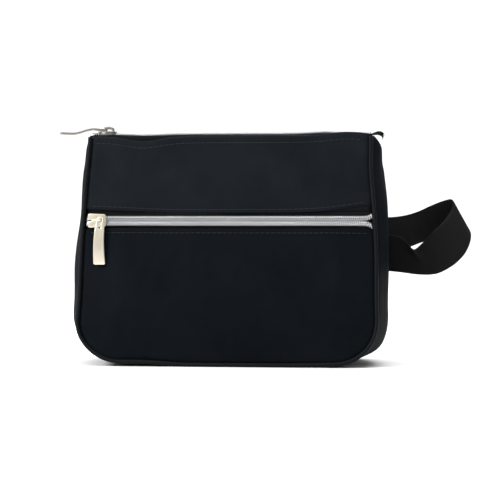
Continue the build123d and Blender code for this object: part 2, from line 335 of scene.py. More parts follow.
def makePiece(name, heap, finishes, thick=0.0, rounds=0):
    mesh = bpy.data.meshes.new(name)
    mesh.from_pydata([tuple(p) for p in heap["points"]], [], heap["faces"])
    weave = mesh.uv_layers.new(name="weave")
    for i, corner in enumerate(heap["corners"]):
        weave.data[i].uv = corner
    for polygon, finish in zip(mesh.polygons, heap["finish"]):
        polygon.material_index = finish
        polygon.use_smooth = True
    for finish in finishes:
        mesh.materials.append(finish)
    mesh.update()
    piece = bpy.data.objects.new(name, mesh)
    scene.collection.objects.link(piece)
    if thick:
        layer = piece.modifiers.new("thickness", "SOLIDIFY")
        layer.thickness = thick
        layer.offset = 0
    if rounds:
        soft = piece.modifiers.new("soft", "SUBSURF")
        soft.levels = rounds
        soft.render_levels = rounds
    return piece


def place(piece, body, slotName, *nodes):
    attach(piece, body)
    if nodes:
        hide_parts(*nodes)
    return piece


def curve(points, steps):
    # smooth line through the points
    ends = [points[0] * 2 - points[1]] + list(points) + [points[-1] * 2 - points[-2]]
    line = []
    for a, b, c, d in zip(ends, ends[1:], ends[2:], ends[3:]):
        for i in range(steps):
            t = i / steps
            bend = (2 * a - 5 * b + 4 * c - d) * t * t + (3 * b - a - 3 * c + d) * t ** 3
            line.append(0.5 * (2 * b + (c - a) * t + bend))
    return line + [points[-1].copy()]


# finishes


def newFinish(name, shade, rough, metal=0.0, specular=0.5):
    material = bpy.data.materials.new(name)
    material.use_nodes = True
    shader = material.node_tree.nodes["Principled BSDF"]
    shader.inputs["Base Color"].default_value = (*shade, 1)
    shader.inputs["Roughness"].default_value = rough
    shader.inputs["Metallic"].default_value = metal
    shader.inputs["Specular IOR Level"].default_value = specular
    material.diffuse_color = (*shade, 1)
    return material, material.node_tree, shader


def addNoise(tree, coordinates, scale, detail=3.0):
    grain = tree.nodes.new("ShaderNodeTexNoise")
    grain.inputs["Scale"].default_value = scale
    grain.inputs["Detail"].default_value = detail
    tree.links.new(coordinates, grain.inputs["Vector"])
    return grain.outputs["Fac"]


def addRange(tree, value, low, high, fromLow=0.3, fromHigh=0.7):
    span = tree.nodes.new("ShaderNodeMapRange")
    span.inputs["From Min"].default_value = fromLow
    span.inputs["From Max"].default_value = fromHigh
    span.inputs["To Min"].default_value = low
    span.inputs["To Max"].default_value = high
    tree.links.new(value, span.inputs["Value"])
    return span.outputs["Result"]


def addMath(tree, kind, first, second):
    sums = tree.nodes.new("ShaderNodeMath")
    sums.operation = kind
    for socket, value in zip(sums.inputs, (first, second)):
        if isinstance(value, (int, float)):
            socket.default_value = value
        else:
            tree.links.new(value, socket)
    return sums.outputs["Value"]


def addShades(tree, value, dark, pale):
    ramp = tree.nodes.new("ShaderNodeValToRGB")
    ramp.color_ramp.elements[0].color = (*dark, 1)
    ramp.color_ramp.elements[1].color = (*pale, 1)
    ramp.color_ramp.elements[0].position = 0.25
    ramp.color_ramp.elements[1].position = 0.75
    tree.links.new(value, ramp.inputs["Fac"])
    return ramp.outputs["Color"]


def addBump(tree, shader, relief, depth):
    bump = tree.nodes.new("ShaderNodeBump")
    bump.inputs["Strength"].default_value = 1.0
    bump.inputs["Distance"].default_value = depth
    tree.links.new(relief, bump.inputs["Height"])
    tree.links.new(bump.outputs["Normal"], shader.inputs["Normal"])


def addWave(tree, coordinates, direction, pitch):
    wave = tree.nodes.new("ShaderNodeTexWave")
    wave.wave_type = "BANDS"
    wave.bands_direction = direction
    wave.wave_profile = "SIN"
    wave.inputs["Scale"].default_value = 0.314 / pitch      # one band for each pitch
    tree.links.new(coordinates, wave.inputs["Vector"])
    return wave.outputs["Fac"]


def clothFinish(name, cloth):
    # woven cloth: two sets of threads, uneven dye, a little fuzz
    material, tree, shader = newFinish(name, cloth["shade"], cloth["rough"], specular=cloth["gloss"])
    shader.inputs["Sheen Weight"].default_value = cloth["sheen"]
    shader.inputs["Sheen Roughness"].default_value = 0.4
    shader.inputs["Sheen Tint"].default_value = (*cloth["sheenShade"], 1)
    weave = tree.nodes.new("ShaderNodeUVMap")
    weave.uv_map = "weave"
    lengths = weave.outputs["UV"]
    warp = addWave(tree, lengths, cloth.get("warpWay", "X"), cloth["thread"])
    weft = addWave(tree, lengths, "Y", cloth["thread"] * cloth.get("weftShare", 1.0))
    cross = addMath(tree, "MULTIPLY", warp, weft)
    uneven = addNoise(tree, lengths, cloth["patch"], 4.0)
    slub = addNoise(tree, lengths, 2200.0, 2.0)
    pale = tuple(c * (1 + cloth["variation"]) for c in cloth["shade"])
    dark = tuple(c * (1 - cloth["variation"]) for c in cloth["shade"])
    tone = addMath(tree, "ADD", addMath(tree, "MULTIPLY", uneven, 0.7), addMath(tree, "MULTIPLY", cross, 0.3))
    tree.links.new(addShades(tree, tone, dark, pale), shader.inputs["Base Color"])
    rough = addRange(tree, uneven, cloth["rough"] - 0.07, cloth["rough"] + 0.07)
    tree.links.new(rough, shader.inputs["Roughness"])
    relief = addMath(tree, "ADD", cross, addMath(tree, "MULTIPLY", slub, 0.6))
    addBump(tree, shader, relief, cloth["relief"])
    return material


shellCloth = clothFinish("shellCloth", {
    "shade": (0.0074, 0.0098, 0.0128), "rough": 0.58, "gloss": 0.045,
    "sheen": 0.006, "sheenShade": (0.5, 0.75, 1.0),
    "thread": 0.00045, "relief": 0.00006, "patch": 26.0, "variation": 0.36,
})
# painted shade: a darker copy of the shell cloth for the pocket panel and the gusset, which the lamps light
# less than the upper panel
shadedShellCloth = clothFinish("shadedShellCloth", {
    "shade": (0.0042, 0.0057, 0.0078), "rough": 0.60, "gloss": 0.026,
    "sheen": 0.003, "sheenShade": (0.5, 0.75, 1.0),
    "thread": 0.00045, "relief": 0.00006, "patch": 26.0, "variation": 0.32,
})
pipingCloth = clothFinish("pipingCloth", {
    "shade": (0.0030, 0.0040, 0.0054), "rough": 0.50, "gloss": 0.10,
    "sheen": 0.006, "sheenShade": (0.8, 0.88, 1.0),
    "thread": 0.00045, "relief": 0.00006, "patch": 60.0, "variation": 0.2, "warpWay": "DIAGONAL",
})
liningCloth = clothFinish("liningCloth", {
    "shade": (0.010, 0.0105, 0.012), "rough": 0.45, "gloss": 0.5,
    "sheen": 0.05, "sheenShade": (0.9, 0.93, 1.0),
    "thread": 0.00025, "relief": 0.00003, "patch": 40.0, "variation": 0.15,
})
tapeCloth = clothFinish("tapeCloth", {
    "shade": (0.0040, 0.0043, 0.0050), "rough": 0.75, "gloss": 0.10,
    "sheen": 0.008, "sheenShade": (0.8, 0.85, 1.0),
    "thread": 0.00060, "relief": 0.00010, "patch": 90.0, "variation": 0.2,
    "warpWay": "DIAGONAL", "weftShare": 0.6,
})
webbing = clothFinish("webbing", {
    "shade": (0.0036, 0.0038, 0.0043), "rough": 0.60, "gloss": 0.12,
    "sheen": 0.012, "sheenShade": (0.85, 0.9, 1.0),
    "thread": 0.00090, "relief": 0.00018, "patch": 45.0, "variation": 0.2, "weftShare": 0.8,
})


def threadFinish(name, shade):
    material, tree, shader = newFinish(name, shade, 0.5, specular=0.4)
    weave = tree.nodes.new("ShaderNodeUVMap")
    weave.uv_map = "weave"
    twist = addWave(tree, weave.outputs["UV"], "DIAGONAL", 0.0004)
    dark = tuple(c * 0.6 for c in shade)
    pale = tuple(c * 1.3 for c in shade)
    tree.links.new(addShades(tree, twist, dark, pale), shader.inputs["Base Color"])
    tree.links.new(addRange(tree, twist, 0.42, 0.6, 0.0, 1.0), shader.inputs["Roughness"])
    addBump(tree, shader, twist, 0.00005)
    return material


thread = threadFinish("thread", (0.0070, 0.0085, 0.0105))
coilThread = threadFinish("coilThread", (0.50, 0.50, 0.52))


def metalFinish(name, metal):
    # plated metal: brushed grain, soft dents in the gloss, duller patches
    material, tree, shader = newFinish(name, metal["shade"], metal["rough"], metal["metal"], metal["gloss"])
    where = tree.nodes.new("ShaderNodeTexCoord").outputs["Object"]
    dull = addNoise(tree, where, metal["patch"], 3.0)
    stretch = tree.nodes.new("ShaderNodeMapping")
    stretch.inputs["Scale"].default_value = metal["grain"]
    tree.links.new(where, stretch.inputs["Vector"])
    grain = addNoise(tree, stretch.outputs["Vector"], 1.0, 2.0)
    pale = tuple(min(1.0, c * 1.03) for c in metal["shade"])
    dark = tuple(c * 0.93 for c in metal["shade"])
    tree.links.new(addShades(tree, dull, dark, pale), shader.inputs["Base Color"])
    uneven = addMath(tree, "ADD", addMath(tree, "MULTIPLY", dull, 0.6), addMath(tree, "MULTIPLY", grain, 0.4))
    rough = addRange(tree, uneven, metal["rough"] - 0.04, metal["rough"] + 0.04)
    tree.links.new(rough, shader.inputs["Roughness"])
    addBump(tree, shader, grain, metal["relief"])
    return material


coilSilver = metalFinish("coilSilver", {
    "shade": (0.78, 0.78, 0.81), "rough": 0.30, "metal": 0.75, "gloss": 0.6, "patch": 500.0,
    "grain": (3000.0, 3000.0, 3000.0), "relief": 0.00001,
})
champagneNickel = metalFinish("champagneNickel", {
    "shade": (0.90, 0.82, 0.67), "rough": 0.33, "metal": 0.8, "gloss": 0.6, "patch": 110.0,
    "grain": (3800.0, 3800.0, 240.0), "relief": 0.000003,
})
paleNickel = metalFinish("paleNickel", {
    "shade": (0.33, 0.31, 0.29), "rough": 0.34, "metal": 0.95, "gloss": 0.6, "patch": 110.0,
    "grain": (240.0, 3800.0, 3800.0), "relief": 0.000003,
})
print("finishes made")

# panels: cloth with a folded hem, soft folds and puckers at the seams

panels = {
    "frontUpperPanel": {
        "side": -1, "bottomFold": True, "bellow": 0.0016, "folds": 0.0017, "seed": 3.1,
        "replaces": ("front_upper_panel", "front_hem"),
    },
    "frontPocketPanel": {
        "side": -1, "bottomFold": False, "bellow": 0.0042, "folds": 0.0015, "seed": 11.7,
        "replaces": ("front_pocket_panel",),
    },
    "backPanel": {
        "side": 1, "bottomFold": False, "bellow": 0.0046, "folds": 0.0021, "seed": 23.4,
        "replaces": ("back_panel", "back_hem"),
    },
}
slitTop = (upperLow.z + bag["panelThick"] * sin(lean)) / cos(lean)
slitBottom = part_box("front_pocket_panel")[1].z / cos(lean)
panels["frontUpperPanel"].update(low=slitTop, high=slant)
panels["frontPocketPanel"].update(low=bag["seamInset"], high=slitBottom)
panels["backPanel"].update(low=bag["seamInset"], high=slant)
edgeShape = {
    "dipPlace": -0.060, "dip": 0.0036, "dipWide": 0.017,      # left part of the mouth's front edge
    "risePlace": 0.082, "rise": 0.0026, "riseWide": 0.018,    # right end of it
    "liftPlace": 0.102, "lift": 0.0046, "liftWide": 0.028,    # right end of the pocket zip's upper fold
    "sag": 0.0012,                                            # middle of that fold
    "leftPlace": -0.100, "leftLift": 0.0015, "leftWide": 0.040,      # left end of it
}


def hump(x, place, wide):
    return exp(-((x - place) / wide) ** 2)


def topWave(side, x):
    # the mouth's edges are not quite straight
    shape = edgeShape
    if side > 0:
        return 0.0006 * sin(x * 55 + 1.0)
    rise = shape["rise"] * hump(x, shape["risePlace"], shape["riseWide"])
    return rise - shape["dip"] * hump(x, shape["dipPlace"], shape["dipWide"])


seamShape = {
    "run": 0.03,                            # how far from a seam the cloth is fully out
    "dive": 0.0011, "diveRun": 0.0022,      # where it goes down under the piping
    "pucker": 0.00022, "hemPucker": 0.00018,
    "hemLine": 0.0050, "pocketLine": 0.0032, "foldLine": 0.0020,      # rows of stitches, from their edges
}


def billow(panel, x, up):
    # how far the cloth stands out at a place on the panel
    low, high = panel["low"], panel["high"]
    edge = edgeX(max(up, bag["seamInset"]), bag["seamInset"])
    fromSide = max(edge - abs(x), 0.0)
    fromEnd = up - low
    rise = (up - low) / (high - low)
    seam = smooth(fromSide / seamShape["run"])
    if not panel["bottomFold"]:
        seam *= smooth(fromEnd / seamShape["run"])
    full = seam * (0.35 + 0.65 * sin(pi * min(max(rise, 0), 1)))
    out = panel["bellow"] * full
    folds = Vector((x * 16, up * 11, panel["seed"]))
    out += panel["folds"] * noise.noise(folds) * smooth(fromSide / 0.02)
    drag = Vector((x * 42 + up * 18, up * 24 - x * 6, panel["seed"] + 7))
    out += 0.45 * panel["folds"] * noise.noise(drag) * smooth(fromSide / 0.012)
    pull = 3 * noise.noise(Vector((up * 60, panel["seed"], x)))
    out += seamShape["pucker"] * sin(up * 520 + pull) * exp(-fromSide / 0.007)
    if fromSide < seamShape["diveRun"]:
        out -= seamShape["dive"] * (1 - fromSide / seamShape["diveRun"])
    seamRow = high - (seamShape["hemLine"] if high == slant else seamShape["pocketLine"])
    out -= 0.00035 * hump(up, seamRow, 0.0011) * smooth(fromSide / 0.004)
    if panel["bottomFold"]:
        out -= 0.00030 * hump(up - low, seamShape["foldLine"], 0.0010) * smooth(fromSide / 0.004)
    else:
        out += seamShape["hemPucker"] * sin(x * 480 + panel["seed"]) * exp(-fromEnd / 0.006)
        if fromEnd < seamShape["diveRun"]:
            out -= seamShape["dive"] * (1 - fromEnd / seamShape["diveRun"])
    return out


foldRadius = 0.0012      # the cloth's rows begin this far from a folded edge
rowStep = 0.0026


def panelRows(panel):
    # (up, out) of each row, from the lower end to the inside of the top hem
    half = bag["clothThick"] / 2
    front = -half - 0.0001
    behind = front - 0.0011
    low, high = panel["low"], panel["high"]
    hem = bag["hem"]
    rounded = [(0.0004, behind + 0.0002), (0.00005, (front + behind) / 2), (0.0004, front - 0.0002)]
    rows = []
    if panel["bottomFold"]:
        rows += [(low + hem, behind), (low + hem / 2, behind), (low + foldRadius, behind)]
        rows += [(low + gap, out) for gap, out in rounded]
        rows += [(up, front) for up in spread(low + foldRadius, high - foldRadius, rowStep)]
    else:
        corner = bag["cornerRadius"]
        rows += [(corner - (corner - low) * cos(pi / 2 * i / 14), front) for i in range(14)]
        rows.insert(1, (low + foldRadius, front))
        rows.sort()
        rows += [(up, front) for up in spread(corner, high - foldRadius, rowStep)]
    rows += [(high - gap, out) for gap, out in reversed(rounded)]
    rows += [(high - foldRadius, behind), (high - hem / 2, behind), (high - hem, behind)]
    return rows


def shiftUp(panel, x, up):
    # waves of the mouth's edge, and the lift and sag of the fold over the pocket zip
    shift = 0.0
    if panel["high"] == slant:
        shift += topWave(panel["side"], x) * smooth((up - slant + 0.045) / 0.045)
    if panel["bottomFold"]:
        near = 1 - smooth((up - panel["low"]) / 0.03)
        lift = edgeShape["lift"] * hump(x, edgeShape["liftPlace"], edgeShape["liftWide"])
        lift += edgeShape["leftLift"] * hump(x, edgeShape["leftPlace"], edgeShape["leftWide"])
        shift += near * (lift - edgeShape["sag"] * (1 - (x / 0.1) ** 2))
    return shift


loose = {
    "frames": 22, "extra": 0.0022, "most": 0.0024, "bend": 0.35, "stretch": 18.0,
    "edge": 0.006, "edgeRun": 0.012, "mass": 0.002, "weight": 0.15,
}


def loosen(piece, panel):
    # the cloth has a little more length than its frame and buckles softly between its stitched edges
    held = piece.vertex_groups.new(name="held")
    rest = [v.co.copy() for v in piece.data.vertices]
    for i, point in enumerate(rest):
        up = point.z / cos(lean)
        side = edgeX(max(up, bag["seamInset"]), bag["seamInset"]) - abs(point.x)
        fold = foldRadius if panel["bottomFold"] else 0
        near = min(side, panel["high"] - up - foldRadius, up - panel["low"] - fold)
        hold = 1 - smooth((near - loose["edge"]) / loose["edgeRun"]) * 0.999
        held.add([i], hold if near > loose["edge"] else 1.0, "REPLACE")
    for layer in piece.modifiers:
        layer.show_viewport = False
    sim = piece.modifiers.new("buckle", "CLOTH")
    piece.modifiers.move(len(piece.modifiers) - 1, 0)
    sim.settings.vertex_group_mass = "held"
    sim.settings.quality = 5
    sim.settings.mass = loose["mass"]
    sim.settings.tension_stiffness = loose["stretch"]
    sim.settings.compression_stiffness = loose["stretch"]
    sim.settings.shear_stiffness = loose["stretch"] / 3
    sim.settings.bending_stiffness = loose["bend"]
    sim.settings.shrink_min = -loose["extra"]
    sim.settings.effector_weights.gravity = loose["weight"]
    sim.point_cache.frame_end = loose["frames"]
    for frameNumber in range(1, loose["frames"] + 1):
        scene.frame_set(frameNumber)
    moved = piece.evaluated_get(bpy.context.evaluated_depsgraph_get()).data.vertices
    places = [v.co.copy() for v in moved]
    piece.modifiers.remove(sim)
    scene.frame_set(1)
    for layer in piece.modifiers:
        layer.show_viewport = True
    for vertex, start, end in zip(piece.data.vertices, rest, places):
        shift = end - start
        if shift.length > loose["most"]:
            shift *= loose["most"] / shift.length
        vertex.co = start + shift
    piece.vertex_groups.remove(held)
    piece.data.update()


columns = [-1, -0.988, -0.972] + spread(-0.945, 0.945, 0.031) + [0.972, 0.988, 1]
clothTrees = {}
for name, panel in panels.items():
    rows = []
    for up, out in panelRows(panel):
        edge = edgeX(max(up, bag["seamInset"]), bag["seamInset"])
        row = []
        for t in columns:
            x = t * edge
            high = up + shiftUp(panel, x, up)
            row.append(settle(facePoint(panel["side"], x, high, out + billow(panel, x, up))))
        rows.append(row if panel["side"] < 0 else row[::-1])
    heap = newHeap()
    addSheet(heap, rows)
    # the pocket panel gets the darker copy of the shell cloth, painted shade
    cloth = shadedShellCloth if name == "frontPocketPanel" else shellCloth
    piece = makePiece(name, heap, [cloth], bag["clothThick"], 1)
    loosen(piece, panel)
    place(piece, "bag", "shell", *panel["replaces"])
    clothTrees[name] = piece
print("panels made")

# gusset: one strip down the left side, along the base and up the right

gusset = {
    "step": 0.004, "across": 22, "seamDepth": 0.0014,
    "rightFoot": 0.016, "rightHump": 0.30, "humpPlace": 0.103, "humpWide": 0.028,
    "leftFoot": 0.038, "leftFall": 0.54, "fallPlace": 0.06, "fallRun": 0.05,
    "topFall": 0.80, "topPlace": 0.151, "topRun": 0.009,
    "wave": 0.0024, "waveFoot": 0.03, "pucker": 0.0003, "puckerFoot": 0.02,
}


def sideProfile(z, right):
    # share of the swell at a height: the left side is fullest below, the right side at two thirds up
    g = gusset
    if right:
        share = smooth(z / g["rightFoot"]) * (1 + g["rightHump"] * hump(z, g["humpPlace"], g["humpWide"]))
    else:
        share = smooth(z / g["leftFoot"]) * (1 - g["leftFall"] * smooth((z - g["fallPlace"]) / g["fallRun"]))
    return share * (1 - g["topFall"] * smooth((z - g["topPlace"]) / g["topRun"]))


def gussetPoint(x, up, turn, w, inset):
    z = up * cos(lean)
    depth = footDepth - up * sin(lean) - gusset["seamDepth"]
    swell = bag["rightBulge" if x > 0 else "leftBulge"] * sideProfile(z, x > 0) * (1 - abs(w) ** 2.2)
    side = 1 if x > 0 else -1
    wave = gusset["wave"] * noise.noise(Vector((w * 1.7, z * 21, 5.0 * side)))
    wave *= smooth(z / gusset["waveFoot"]) * (1 - w * w)
    wave += gusset["pucker"] * sin(z * 400 + side) * abs(w) ** 6 * smooth(z / gusset["puckerFoot"])
    if up > slant - 0.02:
        wave *= 0.4
    grow = swell + wave - inset
    return settle(Vector((x + grow * cos(turn), depth * w, z + grow * sin(turn))))


def gussetRows():
    half = bag["clothThick"] / 2 + 0.0001
    path = outlinePath(0.0, slant, gusset["step"])
    rows = [(*point, half) for point in path[1:-1]]
    inner = half + 0.0011
    for end in (0, -1):
        x, up, turn = path[end]
        fold = [(x, slant - 0.0008, turn, half), (x, slant, turn, half + 0.00055)]
        fold += [(x, slant - 0.0010, turn, inner), (x, slant - bag["hem"], turn, inner)]
        rows = fold[::-1] + rows if end == 0 else rows + fold
    return rows


heap = newHeap()
ws = [-1 + 2 * i / gusset["across"] for i in range(gusset["across"] + 1)]
ws = [-1, -0.965] + ws[1:-1] + [0.965, 1]
addSheet(heap, [[gussetPoint(*spot, w, inset) for w in ws] for *spot, inset in gussetRows()])
# the gusset gets the darker copy of the shell cloth, painted shade
piece = makePiece("gusset", heap, [shadedShellCloth], bag["clothThick"], 1)
place(piece, "bag", "shell", "left_gusset", "bottom_gusset", "right_gusset")
print("gusset made")

# piping: cord in a bias cover along both outer seams

piping = {"radius": 0.0015, "proud": 0.0012, "step": 0.0016, "pucker": 0.00007}
for name, side in (("frontPiping", -1), ("backPiping", 1)):
    line = []
    radii = []
    for i, (x, up, turn) in enumerate(outlinePath(piping["radius"], slant - 0.0006, piping["step"])):
        out = piping["proud"] - piping["radius"]
        up = max(up, piping["radius"] - out * sin(lean))
        line.append(settle(facePoint(side, x, up, out)))
        radii.append(piping["radius"] + piping["pucker"] * (noise.noise(Vector((i * 0.9, side, 0))) - 0.4))
    heap = newHeap()
    addTube(heap, line, radii, 12)
    piece = makePiece(name, heap, [pipingCloth])
    prefix = "front" if side < 0 else "back"
    place(piece, "bag", "piping", prefix + "_piping", prefix + "_piping_cord")
print("piping made")

# linings

lining = {
    "thick": 0.0005, "inset": 0.0024, "waves": 0.0010, "step": 0.005, "foot": 0.0045, "topGap": 0.0012,
    "gussetInset": 0.0041, "gussetWaves": 0.0009, "gussetPlay": 0.0006, "gussetAcross": 12,
}
backingOut = -0.01045      # the pocket's backing stands further in than the lining
liningOut = -0.00305
turnStart = slitTop + 0.006
turnEnd = turnStart + 0.018
liningTop = slant - lining["topGap"]
backingLine = [(lining["foot"], backingOut), (turnStart, backingOut)]
backingLine += [(turnEnd, liningOut), (liningTop, liningOut)]


def backingLevel(up):
    for (a, outA), (b, outB) in zip(backingLine, backingLine[1:]):
        if up <= b:
            return outA + (outB - outA) * smooth((up - a) / (b - a)) if outA != outB else outA
    return liningOut


for name, side, node in (("pocketLining", -1, "pocket_backing"), ("backLining", 1, "back_lining")):
    rows = []
    for up in spread(lining["foot"], liningTop, lining["step"]):
        edge = edgeX(up, lining["inset"])
        level = backingLevel(up) if side < 0 else liningOut
        row = []
        for t in columns:
            x = t * edge
            calm = smooth((1 - abs(t)) / 0.08) * smooth((slant - up) / 0.02) * smooth(up / 0.02)
            ripple = lining["waves"] * noise.noise(Vector((x * 30, up * 22, 40 + side))) * calm
            row.append(settle(facePoint(side, x, up, level - abs(ripple))))
        rows.append(row if side < 0 else row[::-1])
    heap = newHeap()
    addSheet(heap, rows)
    piece = makePiece(name, heap, [liningCloth], lining["thick"])
    place(piece, "bag", "lining", node)

heap = newHeap()
rows = []
for x, up, turn in outlinePath(lining["gussetInset"], liningTop, lining["step"]):
    front = footDepth - up * sin(lean) + (backingLevel(up) - lining["gussetPlay"]) * cos(lean)
    back = footDepth - up * sin(lean) + (liningOut - lining["gussetPlay"]) * cos(lean)
    row = []
    for i in range(lining["gussetAcross"] + 1):
        w = i / lining["gussetAcross"]
        ripple = lining["gussetWaves"] * abs(noise.noise(Vector((w * 3, up * 25, x * 20)))) * sin(pi * w)
        depth = -front + (front + back) * w
        row.append(settle(Vector((x - ripple * cos(turn), depth, up * cos(lean) - ripple * sin(turn)))))
    rows.append(row)
addSheet(heap, rows)
piece = makePiece("gussetLining", heap, [liningCloth], lining["thick"])
place(piece, "bag", "lining", "gusset_lining")
print("linings made")

# zips: tape halves, and a coil of silvery wire on each

zips = {
    "tapeThick": 0.0005, "pitch": 0.00145, "wire": 0.00034, "steps": 12,
    "reach": 0.0036, "coilHeight": 0.0022, "overlap": 0.00012, "turnLength": 0.030,
    "rise": 0.0009, "risePlace": 0.066, "riseWide": 0.013, "dip": 0.0008, "dipWide": 0.015,
    "gap": 0.0004,                       # between a tape's edge and the middle of its chain
    "seamOut": 0.0021, "seamWire": 0.00017, "coreOut": 0.0017, "coreWire": 0.00062, "coreUp": 0.0008,
    "sewnTuck": 0.0085,
}
mouthLow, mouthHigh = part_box("mouth_front_tape")
tapeUp = mouthHigh.z - mouthLow.z
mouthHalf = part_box("mouth_right_end_tape")[1].x
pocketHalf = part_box("pocket_lower_coil")[1].x
chainUp = pocketZipUp / cos(lean)
zipBack = -(bag["panelThick"] + tapeUp)
mouthHinge = abs(hinges["mouth_front_open"]["pos_m"][1])
pocketHinge = slitTop - 0.0005 - chainUp
vee = {"start": 0.0930, "spread": 0.0017}      # the pocket zip's coils part at the right end


def zipPoint(zipName, along, across, level):
    if zipName == "mouth":
        return Vector((along, across, mouthLow.z + level))
    return facePoint(-1, along, chainUp + across, zipBack + level)


def laid(zipName, point):
    # the mouth's chain rises and dips a little with the edges it is sewn to
    if zipName == "mouth":
        rise = zips["rise"] * hump(point.x, zips["risePlace"], zips["riseWide"])
        point.z += rise - zips["dip"] * hump(point.x, edgeShape["dipPlace"], zips["dipWide"])
    return point


def veeShift(zipName, along, side):
    if zipName == "mouth" or along < vee["start"]:
        return 0.0
    t = (along - vee["start"]) / (pocketHalf - vee["start"])
    return side * vee["spread"] * t * t


def addTape(heap, zipName, near, far, start, end, seed):
    rows = []
    middle = zips["tapeThick"] / 2 + 0.00005
    for along in spread(start, end, 0.003):
        row = []
        for i in range(6):
            across = near + (far - near) * i / 5
            ripple = 0.00008 * noise.noise(Vector((along * 90, across * 300, seed)))
            row.append(laid(zipName, zipPoint(zipName, along, across, middle + ripple)))
        rows.append(row)
    addSheet(heap, rows)


def coilPoint(zipName, side, along, across, level):
    return laid(zipName, zipPoint(zipName, along, side * across + veeShift(zipName, along, side), level))


def addCoil(heap, zipName, side, start, end):
    # flattened spiral of wire; the two sides are half a turn apart, so that their heads mesh
    turns = round((end - start) / zips["pitch"])
    pitch = (end - start) / turns
    wire = zips["wire"]
    inner = wire - zips["overlap"]
    outer = zips["reach"] - wire
    middle, reach = (inner + outer) / 2, (outer - inner) / 2
    level = tapeUp + zips["coilHeight"] / 2
    rise = zips["coilHeight"] / 2 - wire
    points = []
    for i in range(turns * zips["steps"] + 1):
        turn = i / zips["steps"]
        angle = 2 * pi * turn + (pi if side > 0 else 0)
        c, s = cos(angle), sin(angle)
        across = middle + reach * (abs(c) ** 0.8) * (1 if c > 0 else -1)
        up = level + rise * (abs(s) ** 0.8) * (1 if s > 0 else -1)
        points.append(coilPoint(zipName, side, start + turn * pitch, across, up))
    addTube(heap, points, wire, 7)
    seam = []
    for i in range(turns * 4 + 1):
        up = tapeUp + zips["coilHeight"] - 0.0001 + 0.00010 * cos(pi * i / 2)
        seam.append(coilPoint(zipName, side, start + i * pitch / 4, zips["seamOut"], up))
    addTube(heap, seam, zips["seamWire"], 5, 1)
    core = []
    for along in spread(start + 0.0008, end - 0.0008, 0.0015):
        core.append(coilPoint(zipName, side, along, zips["coreOut"], tapeUp + zips["coreUp"]))
    addTube(heap, core, zips["coreWire"], 6, 2)      # the dark cord inside the coil


def halves(full):
    return {"Left": (-full, 0.0), "Right": (0.0, full)}


for zipSide, side in (("Front", -1), ("Back", 1)):
    nodeSide = "mouth_" + zipSide.lower()
    sewnName = "mouth" + zipSide + "SewnTape"
    for end, (start, stop) in halves(mouthHalf).items():
        tapeHeap = newHeap()
        addTape(tapeHeap, "mouth", side * zips["gap"], side * mouthHinge, start, stop, side)
        tapePiece = makePiece("mouth" + zipSide + "Tape" + end, tapeHeap, [tapeCloth], zips["tapeThick"])
        coilHeap = newHeap()
        addCoil(coilHeap, "mouth", side, start, stop)
        coilPiece = makePiece("mouth" + zipSide + "Coil" + end, coilHeap, [coilSilver, coilThread, tapeCloth])
        for piece in (tapePiece, coilPiece):
            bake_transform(piece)
        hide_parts("mouth_" + end.lower() + "_end_tape", nodeSide + "_tape")
        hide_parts("mouth_" + end.lower() + "_end_coil", nodeSide + "_coil")
    rows = []
    for along in spread(-mouthHalf, mouthHalf, 0.004):
        tucks = (zips["sewnTuck"], 0.0060, 0.0035, 0.0014)
        fold = [facePoint(side, along, slant - down, -0.00255) for down in tucks]
        fold.append(Vector((along, side * (mouthHinge + 0.0003), mouthLow.z + 0.0002)))
        rows.append(fold if side > 0 else fold[::-1])
    heap = newHeap()
    addSheet(heap, rows)
    piece = makePiece(sewnName, heap, [tapeCloth], zips["tapeThick"])
    place(piece, "bag", "zip_tape", nodeSide + "_sewn_tape")
    panelName = "frontUpperPanel" if side < 0 else "backPanel"

for end, (start, stop) in halves(pocketHalf).items():
    tapeHeap = newHeap()
    addTape(tapeHeap, "pocket", zips["gap"], pocketHinge, start, stop, 9)
    tapePiece = makePiece("pocketUpperTape" + end, tapeHeap, [tapeCloth], zips["tapeThick"])
    coilHeap = newHeap()
    addCoil(coilHeap, "pocket", 1, start, stop)
    coilPiece = makePiece("pocketUpperCoil" + end, coilHeap, [coilSilver, coilThread, tapeCloth])
    for piece in (tapePiece, coilPiece):
        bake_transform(piece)
    nodeEnd = end.lower()
    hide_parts("pocket_" + nodeEnd + "_end_tape", "pocket_upper_tape")
    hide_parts("pocket_" + nodeEnd + "_end_coil", "pocket_upper_coil")

heap = newHeap()
addCoil(heap, "pocket", -1, -pocketHalf, pocketHalf)
piece = makePiece("pocketLowerCoil", heap, [coilSilver, coilThread, tapeCloth])
place(piece, "bag", "silver_coil", "pocket_lower_coil")
heap = newHeap()
addTape(heap, "pocket", -zips["gap"], slitBottom - chainUp - 0.008, -pocketHalf, pocketHalf, 4)
piece = makePiece("pocketLowerTape", heap, [tapeCloth], zips["tapeThick"])
place(piece, "bag", "zip_tape", "pocket_lower_tape")
heap = newHeap()
sewnHalf = pocketHalf - 0.0005
addTape(heap, "pocket", pocketHinge + 0.0002, pocketHinge + zips["sewnTuck"], -sewnHalf, sewnHalf, 6)
piece = makePiece("pocketSewnTape", heap, [tapeCloth], zips["tapeThick"])
place(piece, "bag", "zip_tape", "pocket_sewn_tape")
print("zips made")

# curled end of the mouth zip's tape

